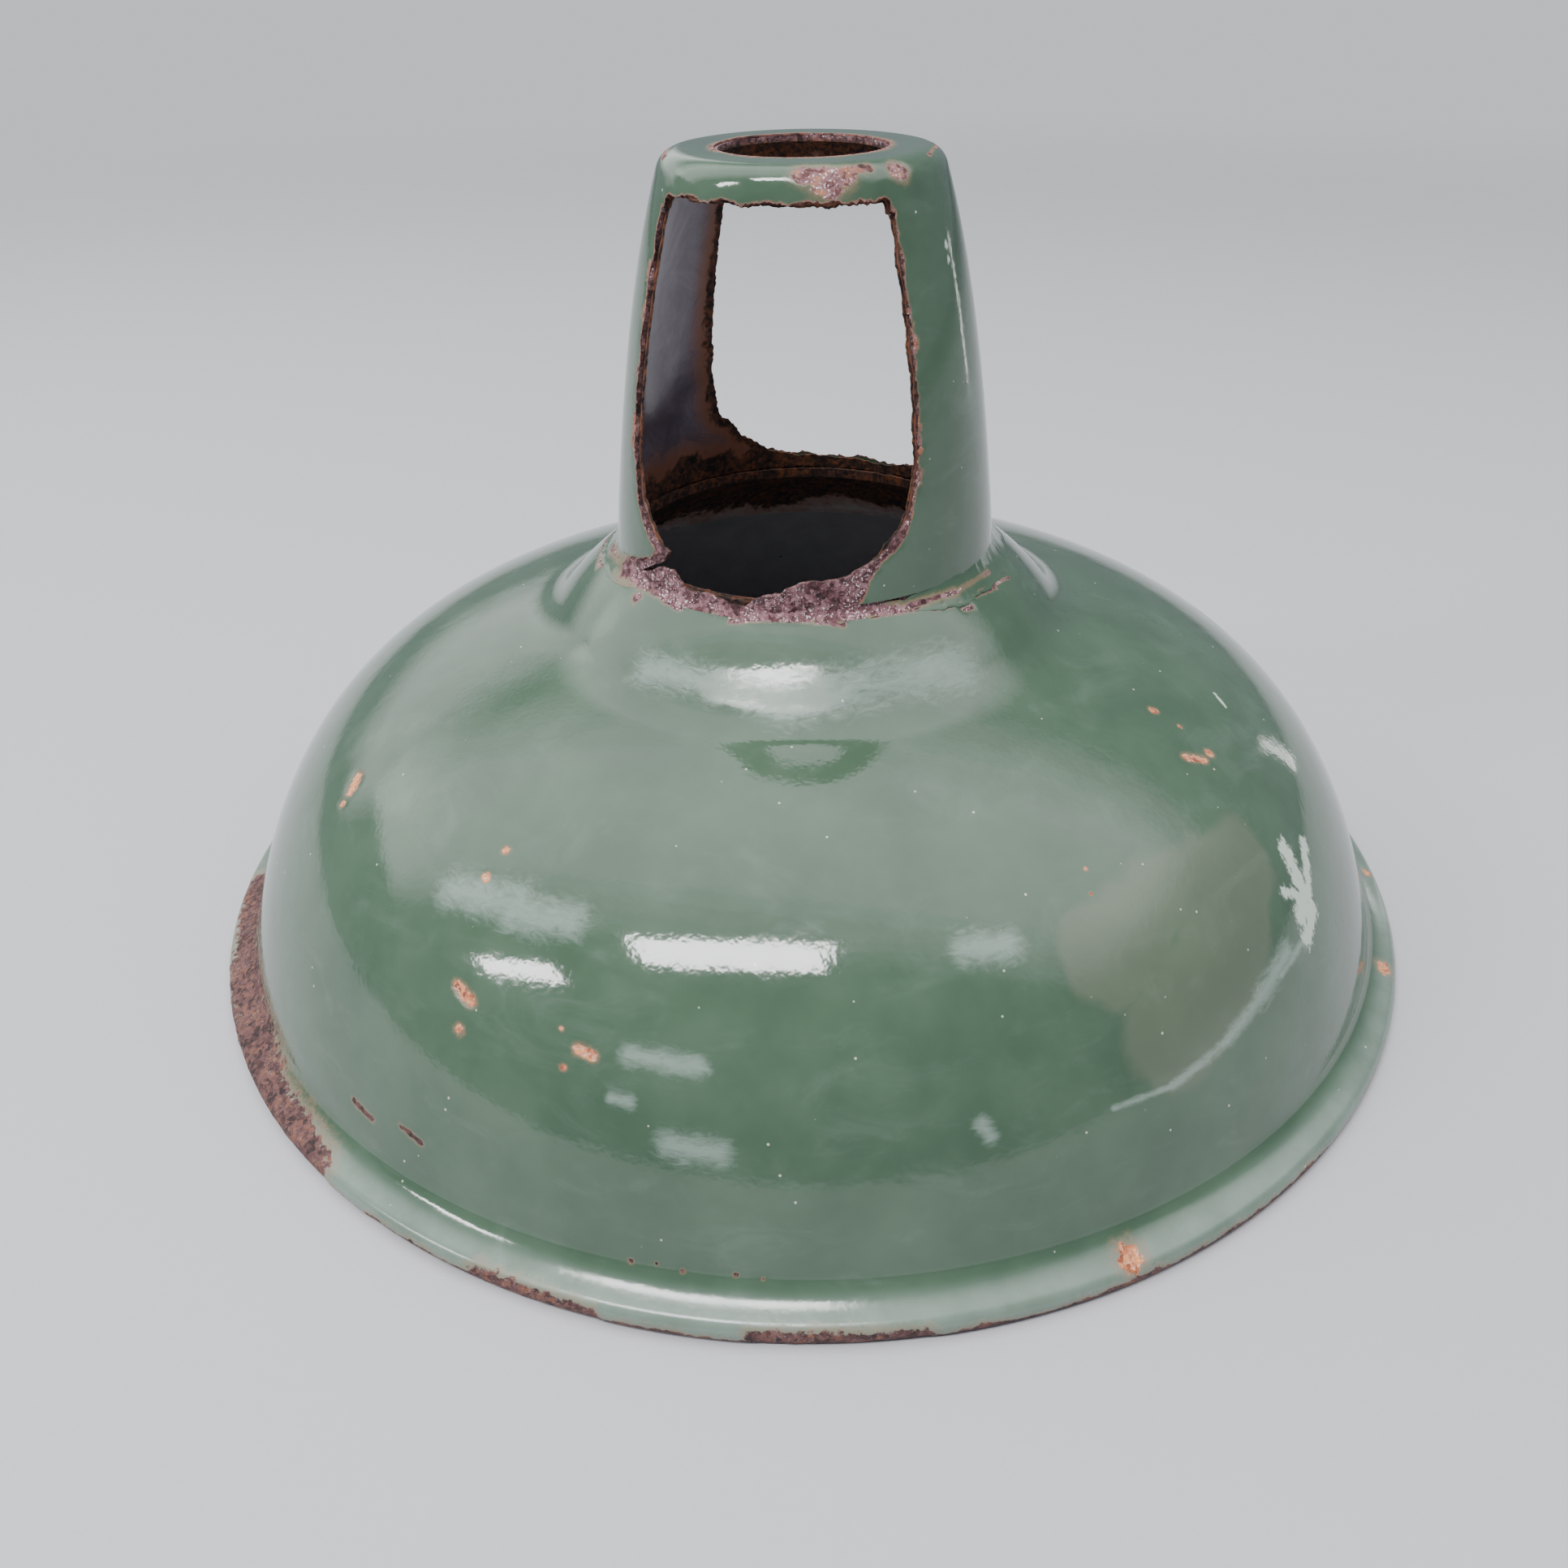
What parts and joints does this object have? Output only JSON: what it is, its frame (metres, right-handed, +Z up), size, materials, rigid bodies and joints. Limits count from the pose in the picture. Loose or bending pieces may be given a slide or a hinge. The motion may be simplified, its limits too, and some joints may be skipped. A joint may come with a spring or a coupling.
{
  "type": "pendant lamp shade",
  "caption": "Domed pendant lamp shade of enamelled sheet steel, with a raised boss, a rolled rim and an open slotted neck that hangs on a lampholder.",
  "frame": {"origin": "centre of the circle that the rolled rim stands on, when the shade stands mouth down", "axes": "+Z up along the shade's axis, from the open mouth to the collar; the windows of the neck face -Y and +Y and its legs stand on the X axis"},
  "size_m": [0.254, 0.254, 0.152],
  "materials": {
    "sheet_steel": "bare sheet steel, dull brown-red rust where it shows",
    "weld_metal": "rusted seam",
    "iron_wire": "drawn, dull",
    "green_enamel": "gloss fired enamel, worn, chipped and rust-stained",
    "white_enamel": "gloss fired enamel, rust-stained"
  },
  "bodies": {
    "root": {"dome_steel": "sheet_steel", "neck_steel": "sheet_steel", "foot_weld": "weld_metal", "rim_wire": "iron_wire", "dome_outer_enamel": "green_enamel", "dome_inner_enamel": "white_enamel", "neck_outer_enamel": "green_enamel", "neck_inner_enamel": "white_enamel"}
  },
  "joints": []
}
